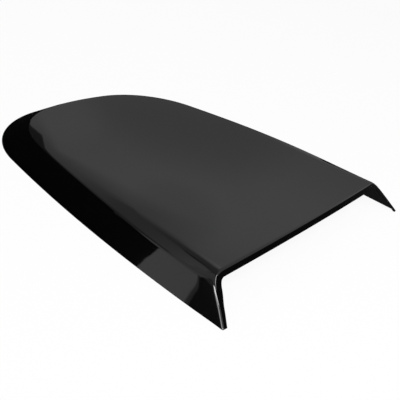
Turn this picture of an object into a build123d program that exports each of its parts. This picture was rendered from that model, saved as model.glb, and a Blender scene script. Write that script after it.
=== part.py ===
"""Bonnet scoop: a one-piece plastic shell that lies on a bonnet with its mouth to the front of the car.

X is across, Y runs from the mouth back to the tail and Z is up.
The origin is on the bonnet, under the middle of the rim.
"""
import os
from math import cos, radians, sin, sqrt, tan

from build123d import *

# Rim, the plan outline that lies on the bonnet
MOUTH_WIDTH = 560.0  # across the feet
LENGTH = 733.0  # feet to tail
SIDE_TOE = 1.9  # degrees that the sides splay outwards at the feet
SIDE_RADIUS = 3200.0
CORNER_RADIUS = 202.0
TAIL_RADIUS = 622.0

# Guide outline that the flanks would reach if they ran on upwards past the shoulder
GUIDE_HEIGHT = 70.0
GUIDE_MOUTH_INSET = 35.0  # how far each flank leans in by then at the feet
GUIDE_TAIL_INSET = 119.0
GUIDE_TOE = 3.3
GUIDE_SIDE_RADIUS = 1460.0
GUIDE_CORNER_RADIUS = 151.0
GUIDE_TAIL_RADIUS = 549.0

# Top skin
FRONT_HEIGHT = 57.0  # middle of the top, carried forward over the feet
TAIL_HEIGHT = 34.0  # middle of the top, carried back over the end of the tail
TOP_ARCH = 3.6  # rise of the top half way along, above a straight line from front to tail
CROWN_RADIUS = 5200.0  # cross-section of the top
BEVEL_INSET_FRONT = 40.5  # how far in from the width across the feet the bevelled shoulders start
BEVEL_INSET_TAIL = 63.0
BEVEL_SLOPE = 23.4  # degrees that the shoulders fall away from the crown over the feet
BEVEL_RUN = 405.0  # distance back over which the shoulders fade into the crown
BEVEL_FADE = 1.5  # how quickly they fade: 1 is even, more is sooner
BEVEL_SOFTNESS = 9.0  # half the width of the bend between crown and shoulder

# Mouth
MOUTH_RAKE = 47.7  # degrees that the mouth leans back from upright
LIP_BOW = 17.6  # how far the middle of the lip stands ahead of its ends
FOOT_REACH = 3.0  # how far the feet sweep forward of the straight line down the mouth
FOOT_RISE = 32.0  # height from which they sweep forward
LIP_WIDTH = 11.3  # turned-in edge over the mouth, measured in the mouth face
LEG_WIDTH = 10.3  # turned-in edge of each leg, measured along the bonnet
OPENING_LEAN = 29.6  # degrees that the way in narrows upwards on each side
LIP_RADIUS = 4.0  # outer edge of the lip and of the legs
OPENING_RADIUS = 9.0  # upper corners of the way in

# Moulding
WALL = 3.0
SHOULDER_RADIUS = 4.0  # crease between flank and top

# Room that the trimming bodies have beyond the shell
OVERLAP = 40.0


def arc_about(centre, start, end):
    """Short arc between two points at the same distance from a centre."""
    radius = (start - centre).length
    middle = centre + ((start - centre) + (end - centre)).normalized() * radius
    return ThreePointArc(start, middle, end)


def meeting_point(first, first_reach, second, second_reach):
    """Point at a given distance from each of two others, left of the line from first to second."""
    span = second - first
    along = (first_reach**2 - second_reach**2 + span.length**2) / (2 * span.length)
    aside = sqrt(first_reach**2 - along**2)
    return first + span.normalized() * along + Vector(-span.Y, span.X).normalized() * aside


def plan_face(half_width, length, toe, side_radius, corner_radius, tail_radius, inset):
    """Plan outline of tangent arcs, side, corner and tail, with a straight front, drawn in by an inset."""
    foot = Vector(half_width, 0)
    side_centre = foot + Vector(-cos(radians(toe)), sin(radians(toe))) * side_radius
    tail_centre = Vector(0, length - tail_radius)
    corner_centre = meeting_point(
        side_centre, side_radius - corner_radius, tail_centre, tail_radius - corner_radius
    )
    ahead = -LIP_BOW - side_centre.Y
    front = Vector(side_centre.X + sqrt((side_radius - inset) ** 2 - ahead**2), -LIP_BOW)
    side_end = side_centre + (corner_centre - side_centre).normalized() * (side_radius - inset)
    tail_end = tail_centre + (corner_centre - tail_centre).normalized() * (tail_radius - inset)
    side = arc_about(side_centre, front, side_end)
    corner = arc_about(corner_centre, side_end, tail_end)
    tail = arc_about(tail_centre, tail_end, Vector(-tail_end.X, tail_end.Y))
    far_corner = mirror(corner, about=Plane.YZ)
    far_side = mirror(side, about=Plane.YZ)
    across = Line((-front.X, front.Y), front)
    return make_face([side, corner, tail, far_corner, far_side, across])


def flank_body(inset):
    """Block between the leaning flanks, drawn in and lowered alike so that steep and flat walls match."""
    shift = inset / sqrt(2)
    rim = plan_face(MOUTH_WIDTH / 2, LENGTH, SIDE_TOE, SIDE_RADIUS, CORNER_RADIUS, TAIL_RADIUS, shift)
    guide = plan_face(
        MOUTH_WIDTH / 2 - GUIDE_MOUTH_INSET,
        LENGTH - GUIDE_TAIL_INSET,
        GUIDE_TOE,
        GUIDE_SIDE_RADIUS,
        GUIDE_CORNER_RADIUS,
        GUIDE_TAIL_RADIUS,
        shift,
    )
    return loft([Pos(0, 0, -shift) * rim, Pos(0, 0, GUIDE_HEIGHT - shift) * guide], ruled=True)


def top_section(station, inset):
    """Cross-section under the top skin at one distance back: crown, soft bends and sloped shoulders."""
    share = station / LENGTH
    middle = FRONT_HEIGHT + (TAIL_HEIGHT - FRONT_HEIGHT) * share + 4 * TOP_ARCH * share * (1 - share)
    bend = MOUTH_WIDTH / 2 - BEVEL_INSET_FRONT - (BEVEL_INSET_TAIL - BEVEL_INSET_FRONT) * share
    fade = max(0.0, 1 - station / BEVEL_RUN) ** BEVEL_FADE
    shoulder_fall = bend / CROWN_RADIUS + tan(radians(BEVEL_SLOPE)) * fade
    bend_height = middle - bend**2 / (2 * CROWN_RADIUS)
    reach = MOUTH_WIDTH / 2 + OVERLAP
    crown_end = bend - BEVEL_SOFTNESS
    shoulder_start = bend + BEVEL_SOFTNESS
    knots = [
        (0, middle, 0),
        (crown_end, middle - crown_end**2 / (2 * CROWN_RADIUS), crown_end / CROWN_RADIUS),
        (shoulder_start, bend_height - BEVEL_SOFTNESS * shoulder_fall, shoulder_fall),
        (reach, bend_height - (reach - bend) * shoulder_fall, shoulder_fall),
    ]
    right = []
    tangents = []
    for across, height, fall in knots:
        along = Vector(1, -fall).normalized()
        right.append(Vector(across, height) + Vector(along.Y, -along.X) * inset)
        tangents.append(along)
    left = [Vector(-point.X, point.Y) for point in reversed(right[1:])]
    left_tangents = [Vector(along.X, -along.Y) for along in reversed(tangents[1:])]
    skin = Spline(*left, *right, tangents=left_tangents + tangents)
    under = Polyline(right[-1], (right[-1].X, -OVERLAP), (left[0].X, -OVERLAP), left[0])
    plane = Plane(origin=(0, station, 0), x_dir=(1, 0, 0), z_dir=(0, -1, 0))
    return plane * make_face([skin, under])


def top_body(inset):
    """Everything under the top skin, lofted along the length."""
    stations = [-LIP_BOW, BEVEL_RUN / 2, BEVEL_RUN, (BEVEL_RUN + LENGTH) / 2, LENGTH + OVERLAP]
    return loft([top_section(station, inset) for station in stations])


def mouth_cut(setback):
    """Everything ahead of the bowed, raked mouth face, which is moved back by a distance."""
    half = MOUTH_WIDTH / 2
    wide = half + OVERLAP
    ahead = -LENGTH / 2
    lip = ThreePointArc((-half, 0), (0, -LIP_BOW), (half, 0))
    surround = Polyline((half, 0), (wide, 0), (wide, ahead), (-wide, ahead), (-wide, 0), (-half, 0))
    face = make_face([lip, surround])
    ceiling = FRONT_HEIGHT + OVERLAP
    heights = [FOOT_RISE * share for share in (0, 1 / 3, 2 / 3, 1)]
    heights += [(2 * FOOT_RISE + ceiling) / 3, (FOOT_RISE + 2 * ceiling) / 3, ceiling]
    sections = []
    for height in heights:
        sweep_forward = FOOT_REACH * max(0.0, 1 - height / FOOT_RISE) ** 2
        back = setback + height * tan(radians(MOUTH_RAKE)) - sweep_forward
        sections.append(Pos(0, back, height) * face)
    return loft(sections)


def mouth_opening():
    """The way in between the legs and under the lip, straight back through the turned-in edge."""
    crest = FRONT_HEIGHT - LIP_WIDTH * rake_share
    lean = tan(radians(OPENING_LEAN))
    foot = MOUTH_WIDTH / 2 - LEG_WIDTH + lean * OVERLAP
    corner = foot - lean * (OVERLAP + crest)
    corner_height = crest - corner**2 / (2 * CROWN_RADIUS)
    lip = ThreePointArc((-corner, corner_height), (0, crest), (corner, corner_height))
    legs = Polyline((corner, corner_height), (foot, -OVERLAP), (-foot, -OVERLAP), (-corner, corner_height))
    depth = (crest + WALL) * tan(radians(MOUTH_RAKE)) + LIP_BOW + OVERLAP
    passage = extrude(Plane.XZ.offset(LIP_BOW + OVERLAP) * make_face([lip, legs]), -depth)
    upper = passage.edges().filter_by(Axis.Y).sort_by(Axis.Z)[-2:]
    return fillet(upper, OPENING_RADIUS)


def filled_body(flank_inset, top_inset):
    """The scoop as a solid block, drawn in from its outer skin and not yet cut off at the mouth."""
    return flank_body(flank_inset) & top_body(top_inset)


def soft_crease(shell):
    """The shell with the crease between its flanks and its top rounded."""
    top_skin = shell.faces().sort_by(Axis.Z)[-1]
    crease = top_skin.edges().sort_by(Axis.Y)[1:]
    return fillet(crease, SHOULDER_RADIUS)


def soft_lip(shell):
    """The shell with the outer edge of its lip and legs rounded."""
    height = FRONT_HEIGHT - LIP_WIDTH / 2 * rake_share
    on_lip = Vector(0, height * tan(radians(MOUTH_RAKE)) - LIP_BOW, height)
    mouth_face = shell.faces().sort_by_distance(on_lip)[0]
    lip_middle = filled_body(LIP_WIDTH / 2, LIP_WIDTH / 2 * rake_share)
    raised = mouth_face.edges().filter_by(lambda edge: edge.center().Z > WALL)
    return fillet([edge for edge in raised if not lip_middle.is_inside(edge.center())], LIP_RADIUS)


rake_share = cos(radians(MOUTH_RAKE))
cavity = filled_body(WALL, WALL) - mouth_cut(WALL / rake_share)
sharp_shell = filled_body(0, 0) - cavity - mouth_opening() - mouth_cut(0)
shell = soft_lip(soft_crease(sharp_shell))
scoop_shell = Pos(0, -shell.bounding_box().center().Y, 0) * shell

os.makedirs("parts", exist_ok=True)
export_step(scoop_shell, "parts/scoop_shell.step")
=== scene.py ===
from math import atan2, cos, pi, radians, sin, sqrt, tan

import bmesh
import bpy
from mathutils import Matrix, Vector


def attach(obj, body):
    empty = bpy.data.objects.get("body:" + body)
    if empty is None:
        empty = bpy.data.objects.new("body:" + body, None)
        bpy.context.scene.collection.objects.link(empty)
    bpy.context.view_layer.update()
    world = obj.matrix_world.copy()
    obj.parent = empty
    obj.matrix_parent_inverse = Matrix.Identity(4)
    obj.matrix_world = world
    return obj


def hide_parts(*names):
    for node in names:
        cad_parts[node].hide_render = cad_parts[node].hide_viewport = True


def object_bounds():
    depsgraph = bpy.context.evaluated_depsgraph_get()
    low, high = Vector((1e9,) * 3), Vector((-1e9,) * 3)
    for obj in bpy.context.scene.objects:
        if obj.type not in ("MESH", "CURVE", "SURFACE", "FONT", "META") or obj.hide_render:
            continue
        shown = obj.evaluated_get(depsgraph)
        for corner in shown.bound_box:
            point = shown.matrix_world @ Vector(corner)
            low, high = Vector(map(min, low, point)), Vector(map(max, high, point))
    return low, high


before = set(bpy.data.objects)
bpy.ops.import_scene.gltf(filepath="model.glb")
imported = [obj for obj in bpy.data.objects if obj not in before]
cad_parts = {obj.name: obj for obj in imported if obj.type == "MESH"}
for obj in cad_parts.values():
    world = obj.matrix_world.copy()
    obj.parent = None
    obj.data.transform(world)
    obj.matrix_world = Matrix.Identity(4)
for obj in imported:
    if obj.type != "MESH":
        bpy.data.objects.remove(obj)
cad_low, cad_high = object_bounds()


# Scoop shell
# One injection-moulded ABS shell, black right through and polished in the mould. Its crowned top, leaning
# flanks, rounded tail and two front legs are a single skin about 3 mm thick, turned in round the mouth as a
# narrow lip. It is bonded to the bonnet along its flat rim.

thickness = 0.003
length = 0.733
half_width = 0.560 / 2
front_height = 0.057
feet_place = cad_high.y - length


def side_corner_tail(half, reach, toe, side_radius, corner_radius, tail_radius):
    """Centre, radius, first and last angle of the arcs from one foot round to the middle of the tail."""
    toe = radians(toe)
    start_ahead_of_foot = -1.6 * toe
    side = Vector((half - side_radius * cos(toe), side_radius * sin(toe)))
    tail = Vector((0, reach - tail_radius))
    to_tail = tail - side
    near, far = side_radius - corner_radius, tail_radius - corner_radius
    along = (near**2 - far**2 + to_tail.length_squared) / (2 * to_tail.length)
    aside = sqrt(near**2 - along**2)
    ahead = to_tail.normalized()
    corner = side + ahead * along + Vector((-ahead.y, ahead.x)) * aside
    side_end = atan2(corner.y - side.y, corner.x - side.x)
    tail_start = atan2(corner.y - tail.y, corner.x - tail.x)
    return [
        (side, side_radius, start_ahead_of_foot, side_end),
        (corner, corner_radius, side_end, tail_start),
        (tail, tail_radius, tail_start, pi / 2),
    ]


# The flanks lean in from the rim towards a guide outline that they would reach above the shoulder.
guide_height, guide_inset, guide_tail_inset = 0.070, 0.035, 0.119
rim_arcs = side_corner_tail(
    half=half_width, reach=length, toe=1.9, side_radius=3.2, corner_radius=0.202, tail_radius=0.622
)
guide_arcs = side_corner_tail(
    half=half_width - guide_inset,
    reach=length - guide_tail_inset,
    toe=3.3,
    side_radius=1.46,
    corner_radius=0.151,
    tail_radius=0.549,
)

mouth_rake = radians(47.7)
lip_bow = 0.0176
bow_radius = (half_width**2 + lip_bow**2) / (2 * lip_bow)
foot_reach, foot_low, foot_high = 0.003, 0.010, 0.048


def mouth_depth(x, z):
    """How far back the raked face of the mouth lies: its middle bows forward and its feet sweep forward."""
    bow = bow_radius - lip_bow - sqrt(bow_radius**2 - x * x)
    share = min(1, max(0, (z - foot_low) / (foot_high - foot_low)))
    sweep = foot_reach * (1 - share * share * (3 - 2 * share))
    return z * tan(mouth_rake) - sweep + bow


def fading(distance, run):
    """1 at no distance, falling evenly to 0 over a run."""
    return max(0, 1 - distance / run)


leg_run, leg_flare, leg_lean = 0.034, 0.0010, 0.08


def on_flank(turn, height):
    """Point of the flank, which leans in more at the legs.

    Turns from 0 to 1 are along the side, on to 2 round the corner and to 3 along the tail.
    """
    arc = min(int(turn), 2)
    ends = []
    for centre, radius, first, last in (rim_arcs[arc], guide_arcs[arc]):
        angle = first + (last - first) * (turn - arc)
        ends.append(centre + Vector((cos(angle), sin(angle))) * radius)
    place = ends[0].lerp(ends[1], height / guide_height)
    behind_mouth = max(0, place.y - mouth_depth(place.x, height))
    leg = fading(behind_mouth, leg_run) ** 3
    return Vector((place.x + leg * (leg_flare - leg_lean * height), place.y, height))


crown_radius, top_arch, tail_drop, box_clearance = 5.2, 0.0036, 0.023, 0.00001
shoulder_inset, shoulder_taper, shoulder_softness = 0.0405, 0.0225, 0.009
shoulder_slope, shoulder_run, shoulder_fade = tan(radians(23.4)), 0.405, 1.5
front_spread, spread_run = 0.003, 0.09
front_flatness, flat_run = 0.12, 0.035
lip_height = 0.05


def top_height(x, y):
    """Height of the crowned top, with shoulders that fall away by the mouth and fade out further back."""
    x, share = abs(x), y / length
    middle = front_height - box_clearance - tail_drop * share + 4 * top_arch * share * (1 - share)
    behind_mouth = max(0, y - mouth_depth(x, lip_height))
    bend = half_width - shoulder_inset - shoulder_taper * share
    bend += front_spread * fading(behind_mouth, spread_run)
    flatter = front_flatness * fading(behind_mouth, flat_run) ** 2
    fall = shoulder_slope * fading(y, shoulder_run) ** shoulder_fade * (1 - flatter)
    if x < bend - shoulder_softness:
        return middle - x * x / (2 * crown_radius)
    beyond = x - bend
    crown = middle - bend * bend / (2 * crown_radius) - beyond * bend / crown_radius
    if beyond < shoulder_softness:
        return crown - fall * (beyond + shoulder_softness) ** 2 / (4 * shoulder_softness)
    return crown - fall * beyond


def halving(below, low, high, steps=40):
    """Value between two others at which something stops being below."""
    for step in range(steps):
        middle = (low + high) / 2
        if below(middle):
            low = middle
        else:
            high = middle
    return low


def crease_height(turn):
    """Height at which the flank meets the top."""

    def under_top(height):
        place = on_flank(turn, height)
        return height < top_height(place.x, place.y)

    return halving(under_top, 0, guide_height)


spine_step = 0.195
soft_run, soft_down, soft_inward = 0.024, 0.016, 0.012


def on_skin(turn, across):
    """Point of the outer skin, with a crease that is softer where it runs out at the mouth.

    Across is 0 at the rim, 1 at the crease above the flank and 2 at the spine.
    """
    crease = on_flank(turn, crease_height(turn))
    spine = Vector((0, spine_step * turn, 0))
    span = (crease - spine).xy.length

    def creased(beyond):
        if beyond <= 0:
            return on_flank(turn, crease.z + beyond)
        place = crease.lerp(spine, beyond / span)
        return Vector((place.x, place.y, top_height(place.x, place.y)))

    behind_mouth = max(0, crease.y - mouth_depth(crease.x, crease.z))
    softening = fading(behind_mouth, soft_run) ** 2
    down, inward = soft_down * softening, soft_inward * softening
    beyond = (across - 1) * (crease.z if across < 1 else span)
    if beyond <= -down or beyond >= inward:
        return creased(beyond)
    share = (beyond + down) / (down + inward)
    return creased(-down) * (1 - share) ** 2 + crease * 2 * share * (1 - share) + creased(inward) * share**2


# The rows run from just under the bonnet line up the flank and on to the spine. They are close together on
# the shoulder and wider on the crown.
rows = [-0.15, 0.18, 0.4, 0.53, 0.64, 0.74, 0.83, 0.91, 1.0]
shoulder_step, crown_start, crown_growth, least_step = 0.014, 1.2, 0.05, 0.02
while rows[-1] < 2:
    rows.append(min(2, rows[-1] + shoulder_step + max(0, rows[-1] - crown_start) * crown_growth))
if rows[-1] - rows[-2] < least_step:
    del rows[-2]


def mouth_turn(across):
    """Turn at which a row of the skin meets the face of the mouth."""

    def ahead_of_mouth(turn):
        place = on_skin(turn, across)
        return place.y < mouth_depth(place.x, place.z)

    return halving(ahead_of_mouth, 0, 1)


# One half of the skin is a grid, at first one unit wide. Its first column along the mouth leaves room for
# the rounded edge there.
side_columns, corner_columns, tail_columns = 76, 52, 16
columns = side_columns + corner_columns + tail_columns
first_column = 0.02
outer, inner, lip, broken_edge, rim = range(5)
shell_form = bmesh.new()
skin_of = shell_form.faces.layers.int.new("skin")
roundness = shell_form.edges.layers.float.new("bevel_weight_edge")
bmesh.ops.create_grid(shell_form, x_segments=columns, y_segments=len(rows) - 1, size=0.5)
mouth_turns = [mouth_turn(across) for across in rows]
mouth_verts = set()
for vert in shell_form.verts:
    column = round((vert.co.x + 0.5) * columns)
    row = round((vert.co.y + 0.5) * (len(rows) - 1))
    if column == 0:
        mouth_verts.add(vert)
        turn = mouth_turns[row]
    elif column < side_columns:
        share = first_column + (1 - first_column) * (column - 1) / (side_columns - 1)
        turn = mouth_turns[row] + (1 - mouth_turns[row]) * share
    elif column < side_columns + corner_columns:
        turn = 1 + (column - side_columns) / corner_columns
    else:
        turn = 2 + (column - side_columns - corner_columns) / tail_columns
    vert.co = on_skin(turn, rows[row])
    if row == len(rows) - 1 or column == columns:
        vert.co.x = 0

# The skin is turned in round the mouth, as far as the outline of the way in. Its legs swell inwards a
# little below the lip.
lip_width, leg_width, opening_radius = 0.0119, 0.0080, 0.018
leg_swell, swell_height, swell_reach = 0.0022, 0.035, 0.013
opening_crest = front_height - lip_width * cos(mouth_rake)
opening_lean = tan(radians(31))


def under_lip(x):
    """Height of the lower edge of the lip."""
    return opening_crest - x * x / (2 * crown_radius)


def beside_leg(z):
    """How far out the inner edge of a leg stands."""
    return half_width - leg_width - opening_lean * z


corner_height = halving(lambda z: z < under_lip(beside_leg(z)), 0, front_height)
opening_corner = Vector((beside_leg(corner_height), corner_height))
up_leg = Vector((-opening_lean, 1)).normalized()
along_lip = Vector((-1, opening_corner.x / crown_radius)).normalized()
corner_run = opening_radius * tan(up_leg.angle(along_lip) / 2)
corner_centre = opening_corner - up_leg * corner_run + Vector((-up_leg.y, up_leg.x)) * opening_radius


def on_opening(x, z):
    """Nearest point of the outline of the way in, seen from the front: leg, rounded corner or lip."""
    place = Vector((x, z))
    past_corner = (place - opening_corner).dot(up_leg)
    if past_corner < -corner_run:
        return opening_corner + up_leg * past_corner
    if x < opening_corner.x + along_lip.x * corner_run:
        return Vector((x, under_lip(x)))
    return corner_centre + (place - corner_centre).normalized() * opening_radius


front_edges = [edge for edge in shell_form.edges if all(vert in mouth_verts for vert in edge.verts)]
for part in bmesh.ops.extrude_edge_only(shell_form, edges=front_edges)["geom"]:
    if isinstance(part, bmesh.types.BMVert):
        place = on_opening(part.co.x, part.co.z)
        place.x -= leg_swell * max(0, 1 - ((place.y - swell_height) / swell_reach) ** 2)
        part.co = Vector((place.x, mouth_depth(place.x, place.y), place.y))
    elif isinstance(part, bmesh.types.BMFace):
        part[skin_of] = lip

# The half is set in its place, mirrored and given its wall.
weld = 0.00001
bmesh.ops.translate(shell_form, verts=shell_form.verts, vec=(0, feet_place, 0))
everything = shell_form.verts[:] + shell_form.edges[:] + shell_form.faces[:]
bmesh.ops.mirror(shell_form, geom=everything, axis="X", merge_dist=weld)
bmesh.ops.remove_doubles(shell_form, verts=shell_form.verts, dist=weld)
bmesh.ops.recalc_face_normals(shell_form, faces=shell_form.faces)
outer_faces = set(shell_form.faces)
thickened = bmesh.ops.solidify(shell_form, geom=shell_form.faces[:], thickness=thickness)["geom"]
for face in shell_form.faces:
    if face not in outer_faces:
        face[skin_of] = inner if face in thickened else broken_edge

# The rim is trimmed flat where it lies on the bonnet.
everything = shell_form.verts[:] + shell_form.edges[:] + shell_form.faces[:]
trimmed = bmesh.ops.bisect_plane(
    shell_form, geom=everything, dist=0.000001, plane_co=(0, 0, 0), plane_no=(0, 0, -1), clear_outer=True
)["geom_cut"]
rim_edges = [
    edge
    for edge in trimmed
    if isinstance(edge, bmesh.types.BMEdge) and edge.link_faces[0][skin_of] != broken_edge
]
for face in bmesh.ops.bridge_loops(shell_form, edges=rim_edges)["faces"]:
    face[skin_of] = rim

# The crease is rounded to 4 mm, and to about 8 mm beside the mouth. The front of the lip is rounded to
# 7 mm and that of the legs to 9.5 mm. The feet have blunt tips, and the other edges are only broken.
least_bend = radians(18)
crease_radius, crease_gain, gain_run, crease_reach = 0.004, 0.005, 0.25, 0.006
lip_radius, leg_gain, lip_bend, leg_bend, widest_bevel = 0.007, 0.0025, 0.9, 1.25, 0.009
foot_length, foot_radius, foot_bevel = 0.02, 0.0012, 0.003
broken_radius, broken_reach = 0.0004, 0.0006
for edge in shell_form.edges:
    bend = edge.calc_face_angle()
    skins = {face[skin_of] for face in edge.link_faces}
    if bend <= least_bend or skins == {inner}:
        continue
    behind_feet = sum(vert.co.y for vert in edge.verts) / 2 - cad_low.y
    if skins == {outer}:
        radius, reach = crease_radius + crease_gain * fading(behind_feet, gain_run), crease_reach
    elif skins == {outer, lip}:
        leg = min(1, max(0, (bend - lip_bend) / (leg_bend - lip_bend)))
        radius, reach = lip_radius + leg_gain * leg, widest_bevel
    elif skins == {lip, rim} or (skins == {outer, rim} and behind_feet < foot_length):
        radius, reach = foot_radius, foot_bevel
    else:
        radius, reach = broken_radius, broken_reach
    edge[roundness] = min(radius * tan(bend / 2), reach) / widest_bevel

shell_mesh = bpy.data.meshes.new("scoop_shell_gloss")
shell_form.to_mesh(shell_mesh)
shell_form.free()
shell_mesh.shade_smooth()
shell = bpy.data.objects.new("scoop_shell_gloss", shell_mesh)
bpy.context.collection.objects.link(shell)
rounded_edges = shell.modifiers.new("rounded_edges", "BEVEL")
rounded_edges.limit_method = "WEIGHT"
rounded_edges.width = widest_bevel
rounded_edges.segments = 6
rounded_edges.profile = 0.5
rounded_edges.use_clamp_overlap = False
even_gloss = shell.modifiers.new("even_gloss", "WEIGHTED_NORMAL")
even_gloss.weight = 50

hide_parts("scoop_shell")
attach(shell, "root")


class Wire:
    """A value in a shader: arithmetic on it adds Math nodes, and node() adds any other node."""

    def __init__(self, tree, socket=None):
        self.tree = tree
        self.socket = socket

    def node(self, kind, settings, sockets, output=0):
        added = self.tree.nodes.new(kind)
        for name, value in settings.items():
            setattr(added, name, value)
        for name, value in sockets.items():
            if isinstance(value, Wire):
                self.tree.links.new(value.socket, added.inputs[name])
            else:
                added.inputs[name].default_value = value
        return Wire(self.tree, added.outputs[output])

    def math(self, operation, first, second):
        return self.node("ShaderNodeMath", {"operation": operation}, {0: first, 1: second})

    def feed(self, node, name):
        self.tree.links.new(self.socket, node.inputs[name])

    def __add__(self, other):
        return self.math("ADD", self, other)

    def __sub__(self, other):
        return self.math("SUBTRACT", self, other)

    def __rsub__(self, other):
        return self.math("SUBTRACT", other, self)

    def __mul__(self, other):
        return self.math("MULTIPLY", self, other)

    def __truediv__(self, other):
        return self.math("DIVIDE", self, other)

    def __rtruediv__(self, other):
        return self.math("DIVIDE", other, self)

    __radd__ = __add__
    __rmul__ = __mul__


# The plastic flowed unevenly into the mould and took its polish from it, apart from the inside.
flow_scale, grain_scale = 9, 240
deep_black, flow_black = (0.0006, 0.0006, 0.0007, 1), (0.0014, 0.0014, 0.0015, 1)
polish, flow_haze, grain_haze, inside_haze = 0.02, 0.02, 0.01, 0.3
wave_depth, wave_strength, grain_share = 0.00012, 0.5, 0.02
skin_tolerance = 0.1

gloss_black = bpy.data.materials.new("gloss_black_plastic")
gloss_black.use_nodes = True
tree = gloss_black.node_tree
plastic = tree.nodes["Principled BSDF"]
spot = Wire(tree).node("ShaderNodeTexCoord", {}, {}, "Object")
flow = spot.node("ShaderNodeTexNoise", {}, {"Vector": spot, "Scale": flow_scale, "Detail": 3})
grain = spot.node("ShaderNodeTexNoise", {}, {"Vector": spot, "Scale": grain_scale, "Detail": 2})
skin = spot.node("ShaderNodeAttribute", {"attribute_name": "skin"}, {}, "Fac")
inside = spot.node("ShaderNodeMath", {"operation": "COMPARE"}, {0: skin, 1: inner, 2: skin_tolerance})
pigment = spot.node(
    "ShaderNodeMix", {"data_type": "RGBA"}, {"Factor": flow, "A": deep_black, "B": flow_black}, "Result"
)
haze = polish + flow * flow_haze + grain * grain_haze + inside * inside_haze
waves = spot.node(
    "ShaderNodeBump",
    {},
    {"Height": flow + grain * grain_share, "Distance": wave_depth, "Strength": wave_strength},
)
pigment.feed(plastic, "Base Color")
haze.feed(plastic, "Roughness")
waves.feed(plastic, "Normal")
shell_mesh.materials.append(gloss_black)


# Floor and backdrop
# A sheet of white paper larger than the view, and plain white behind it. The camera sees both as white, and
# the paper keeps the soft shadow of the scoop.

paper_reach = 10
paper_low, paper_high = (0.84, 0.84, 0.84, 1), (0.87, 0.87, 0.87, 1)
paper_white, room_light = 0.93, 0.75
white = (1, 1, 1, 1)

floor_form = bmesh.new()
bmesh.ops.create_grid(floor_form, x_segments=1, y_segments=1, size=paper_reach)
floor_mesh = bpy.data.meshes.new("white_paper")
floor_form.to_mesh(floor_mesh)
floor_form.free()
floor = bpy.data.objects.new("white_paper", floor_mesh)
bpy.context.collection.objects.link(floor)


def seen_directly(tree):
    """1 where the camera, a mirror image or a view through glass looks, and 0 where only light is given."""
    lens, mirror, glass = (
        Wire(tree).node("ShaderNodeLightPath", {}, {}, name)
        for name in ("Is Camera Ray", "Is Glossy Ray", "Is Transmission Ray")
    )
    return lens.math("MINIMUM", lens + mirror + glass, 1)


white_paper = bpy.data.materials.new("white_paper")
white_paper.use_nodes = True
tree = white_paper.node_tree
paper = tree.nodes["Principled BSDF"]
paper.inputs["Roughness"].default_value = 0.9
paper.inputs["Specular IOR Level"].default_value = 0.1
spot = Wire(tree).node("ShaderNodeTexCoord", {}, {}, "Object")
fibre = spot.node("ShaderNodeTexNoise", {}, {"Vector": spot, "Scale": 400, "Detail": 2})
tone = spot.node(
    "ShaderNodeMix", {"data_type": "RGBA"}, {"Factor": fibre, "A": paper_low, "B": paper_high}, "Result"
)
tone.feed(paper, "Base Color")
plain_white = spot.node("ShaderNodeEmission", {}, {"Color": white, "Strength": 1})
lit_paper = spot.node(
    "ShaderNodeMixShader",
    {},
    {0: seen_directly(tree) * paper_white, 1: Wire(tree, paper.outputs[0]), 2: plain_white},
)
lit_paper.feed(tree.nodes["Material Output"], "Surface")
floor_mesh.materials.append(white_paper)

backdrop = bpy.data.worlds.new("white_backdrop")
backdrop.use_nodes = True
tree = backdrop.node_tree
tree.nodes["Background"].inputs["Color"].default_value = white
(room_light + seen_directly(tree) * (1 - room_light)).feed(tree.nodes["Background"], "Strength")
bpy.context.scene.world = backdrop


# Black drape
# A tent of black cloth and a black card laid round the scoop, which only its gloss can see, so that the
# flanks mirror black between the lights.

drape_radius, card_height = 8, 0.0003
cloth_black, roof_light, card_light = 0.005, 0.22, 0.1
front_light, side_light = 0.025, 0.045

drape_form = bmesh.new()
bmesh.ops.create_uvsphere(drape_form, u_segments=64, v_segments=32, radius=drape_radius)
everything = drape_form.verts[:] + drape_form.edges[:] + drape_form.faces[:]
cut = bmesh.ops.bisect_plane(
    drape_form, geom=everything, plane_co=(0, 0, card_height), plane_no=(0, 0, -1), clear_outer=True
)["geom_cut"]
bmesh.ops.holes_fill(drape_form, edges=[edge for edge in cut if isinstance(edge, bmesh.types.BMEdge)])


def hang(name, form, glow):
    """Hang a sheet that the camera looks through, with a brightness worked out from the place on it."""
    mesh = bpy.data.meshes.new(name)
    form.to_mesh(mesh)
    form.free()
    sheet = bpy.data.objects.new(name, mesh)
    bpy.context.collection.objects.link(sheet)
    sheet.visible_camera = False
    paint = bpy.data.materials.new(name)
    paint.use_nodes = True
    tree = paint.node_tree
    spot = Wire(tree).node("ShaderNodeTexCoord", {}, {}, "Object")
    x, y, z = (spot.node("ShaderNodeSeparateXYZ", {}, {"Vector": spot}, axis) for axis in "XYZ")
    light = spot.node("ShaderNodeEmission", {}, {"Color": glow(x, y, z), "Strength": 1})
    light.feed(tree.nodes["Material Output"], "Surface")
    mesh.materials.append(paint)
    return sheet


def ramp(value, dark, bright):
    """0 where a value is at or past its dark end, 1 at or past its bright end, and smooth between."""
    return value.node(
        "ShaderNodeMapRange",
        {"interpolation_type": "SMOOTHSTEP"},
        {"Value": value, "From Min": dark, "From Max": bright},
    )


def drape_glow(x, y, z):
    """Nearly black behind the scoop, dark grey in front and on the card, with some light on the roof."""
    roof = ramp(z, dark=3.8, bright=5.0) * ramp(y, dark=-1.5, bright=0.5) * roof_light
    card = ramp(z, dark=0.01, bright=0) * ramp(y, dark=0.1, bright=-0.1) * card_light
    front = front_light + ramp(y, dark=-3.5, bright=-2) * side_light
    return cloth_black + ramp(y, dark=6, bright=1) * ramp(z, dark=0.05, bright=0.4) * front + roof + card


drape = hang("black_drape", drape_form, drape_glow)
drape.visible_diffuse = False
drape.visible_shadow = False
drape.visible_transmission = False


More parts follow.
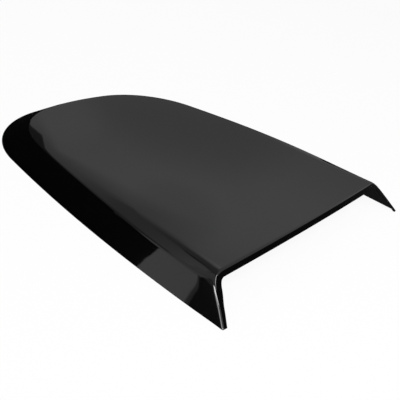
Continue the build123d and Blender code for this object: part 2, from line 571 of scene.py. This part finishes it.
# Light boards
# Softboxes and lit boards hung round the scoop, which its gloss mirrors: a wall of light beyond its far
# side, a board beside the mouth, a box and a strip overhead, two boards beside the near flank, and lamps.


def board(corner, along, up, widening=(0, 0, 0)):
    """A board from one corner and two edges, whose upper edge may be longer."""
    form = bmesh.new()
    bmesh.ops.create_grid(form, x_segments=1, y_segments=1, size=0.5)
    for vert in form.verts:
        across, rise = vert.co.x + 0.5, vert.co.y + 0.5
        vert.co = Vector(corner) + Vector(along) * across
        vert.co += Vector(up) * rise + Vector(widening) * across * rise
    return form


def even(glow):
    """The same brightness all over a board."""
    return lambda x, y, z: (glow, glow, glow, 1)


def direction(azimuth, elevation=0):
    """Direction so many degrees round from the tail towards +X, and up."""
    level = cos(radians(elevation))
    return Vector((sin(radians(azimuth)) * level, cos(radians(azimuth)) * level, sin(radians(elevation))))


overhead = Vector((0, 0, 1))
board_distance, board_height = 2.5, 5

# Places along the wall are negative towards the tail.
wall_azimuth, wall_start, wall_length = 60, 2.4, 4.4
wall_run = direction(wall_azimuth + 90)
wall_low, wall_high, wall_crest, wall_tail, wall_dark = 0.227, 0.464, 0.65, 0.273, 0.05
tail_edge, tail_height, tail_slant = -1.61, 1.2, 0.258
least_softness, most_softness, soft_height, softness_growth = 0.12, 1.3, 1.39, 2.45
end_place, end_height, end_softness = -1.58, 1.3, 0.006

# The wall is uneven in a few soft patches: place along it, height, half length, half height and change.
wall_patches = [
    (-0.4, 0.75, 0.9, 0.75, -0.14),
    (-1.5, 1.0, 0.55, 0.45, 0.14),
    (0.6, 1.15, 0.7, 0.6, 0.06),
    (-0.5, 1.85, 0.45, 0.45, -0.12),
]


def wall_glow(x, y, z):
    """Brighter with height, dimmer towards the tail and softly so high up, and dark past a slanted end."""
    along = x * wall_run.x + y * wall_run.y
    steepness = z / x.math("POWER", x * x + y * y, 0.5)
    crest = ramp(steepness, dark=0.9, bright=1.2) * ramp(along, dark=0.1, bright=-0.3) * wall_crest
    full = wall_low + ramp(steepness, dark=0.2, bright=0.86) * wall_high + crest
    softness = x.math("MAXIMUM", (z - soft_height) * softness_growth, least_softness)
    softness = x.math("MINIMUM", softness, most_softness)
    inward = along - tail_edge - (z - tail_height) * tail_slant
    lit = wall_tail + (full - wall_tail) * ramp(inward / softness, dark=0, bright=1)
    for patch_place, patch_height, half_length, half_height, change in wall_patches:
        across, rise = (along - patch_place) / half_length, (z - patch_height) / half_height
        lit = lit * (1 + ramp(across * across + rise * rise, dark=1, bright=0) * change)
    end = end_place - x.math("MAXIMUM", end_height - z, 0.0)
    return wall_dark + (lit - wall_dark) * ramp(along - end, dark=-end_softness, bright=end_softness)


wall_corner = direction(wall_azimuth) * board_distance - wall_run * wall_start
hang("light_wall", board(wall_corner, wall_run * wall_length, overhead * board_height), wall_glow)

mouth_azimuth, mouth_start, mouth_length = 115, 1, 2.4
mouth_low, mouth_rise, mouth_light = 0.72, 1.38, 0.68
mouth_run = direction(mouth_azimuth + 90)
mouth_corner = direction(mouth_azimuth) * board_distance - mouth_run * mouth_start + overhead * mouth_low
mouth_edge = mouth_run * mouth_length + overhead * mouth_rise
hang("mouth_board", board(mouth_corner, mouth_edge, overhead * board_height), even(mouth_light))

box_corner, box_width, box_length, box_light = (-1.2, -1.5, 2), 1.3, 2.48, 0.57
hang("top_box", board(box_corner, (box_width, 0, 0), (0, box_length, 0)), even(box_light))

strip_start, strip_run = Vector((0.15, 0.775, 1.99)), Vector((0.768, 0.640, 0))
strip_side = Vector((-strip_run.y, strip_run.x, 0))
strip_length, strip_width = 1.9, 0.22
strip_low, strip_gain, strip_fade = 0.25, 0.42, 0.45


def strip_glow(x, y, z):
    """Fading along the strip, away from the mouth."""
    along = (x - strip_start.x) * strip_run.x + (y - strip_start.y) * strip_run.y
    near = along.node("ShaderNodeMath", {"operation": "EXPONENT"}, {0: along / -strip_fade})
    return strip_low + near * strip_gain


hang("top_strip", board(strip_start, strip_run * strip_length, strip_side * strip_width), strip_glow)

flank_left, flank_right, flank_top = Vector((-1.334, 0.545, 0)), Vector((-1.449, 0.25, 0)), 0.33
flank_low, flank_gain = 0.3, 0.63


def flank_glow(x, y, z):
    """Bright, with a dim end beside the leg."""
    return flank_low + ramp(y, dark=0.266, bright=0.276) * flank_gain


hang("flank_board", board(flank_left, flank_right - flank_left, overhead * flank_top), flank_glow)

lift_left, lift_right = Vector((-1.13, 0.85, flank_top)), Vector((-1.405, 0.193, flank_top))
lift_up, lift_widening = (0.13, 0.4, 1.67), (-0.145, -0.673, 0)
lift_low, lift_loss, lift_even = 0.91, 0.17, 0.4
front_gain, front_slant = 0.6, 0.163
back_loss, back_slant = 0.75, 0.25


def lift_glow(x, y, z):
    """Dimmer with height and towards both sides."""
    front = ramp(y + z * front_slant, dark=0.25, bright=0.5) * front_gain
    back = ramp(y - z * back_slant, dark=0.5, bright=0.62) * back_loss
    return (lift_low - z * lift_loss) * (front - back + lift_even)


hang("lift_board", board(lift_left, lift_right - lift_left, lift_up, lift_widening), lift_glow)

near_leg = Vector((-0.27, -0.33, 0.03))


def lamp_box(name, azimuth, elevation, away, width, height, glow):
    """A softbox that faces the near leg from a distance."""
    facing = direction(azimuth, elevation)
    middle = near_leg + facing * away
    along = overhead.cross(facing).normalized() * width
    up = facing.cross(along).normalized() * height
    hang(name, board(middle - along / 2 - up / 2, along, up), even(glow))


lamp_box("key_box", azimuth=-140, elevation=61, away=1.7, width=0.65, height=0.24, glow=18)
lamp_box("strip_box", azimuth=-126, elevation=50, away=1.7, width=0.55, height=0.4, glow=6)
lamp_box("front_box", azimuth=148, elevation=60, away=1.7, width=0.6, height=0.25, glow=8)
lamp_box("fill_box", azimuth=-145, elevation=46, away=1.9, width=1.8, height=0.9, glow=1)


# Camera
# A 51 mm lens on a frame 36 mm wide, on the near side of the mouth and rolled a little, so that the scoop
# lies across the picture from its tail at the upper left to its mouth at the lower right.

camera_aim, camera_distance = (-0.0448314, -0.1127045, 0), 1.068554
camera_turn, camera_rise, camera_roll = -53.4787, 29.6795, 10.9029

camera_data = bpy.data.cameras.new("camera")
camera_data.lens = 51.336
camera_data.sensor_width = 36
camera_data.clip_end = 50
camera = bpy.data.objects.new("camera", camera_data)
bpy.context.collection.objects.link(camera)
camera.matrix_world = (
    Matrix.Translation(camera_aim)
    @ Matrix.Rotation(radians(camera_turn), 4, "Z")
    @ Matrix.Rotation(radians(90 - camera_rise), 4, "X")
    @ Matrix.Rotation(radians(camera_roll), 4, "Z")
    @ Matrix.Translation((0, 0, camera_distance))
)
bpy.context.scene.camera = camera
bpy.context.scene.view_settings.view_transform = "Standard"
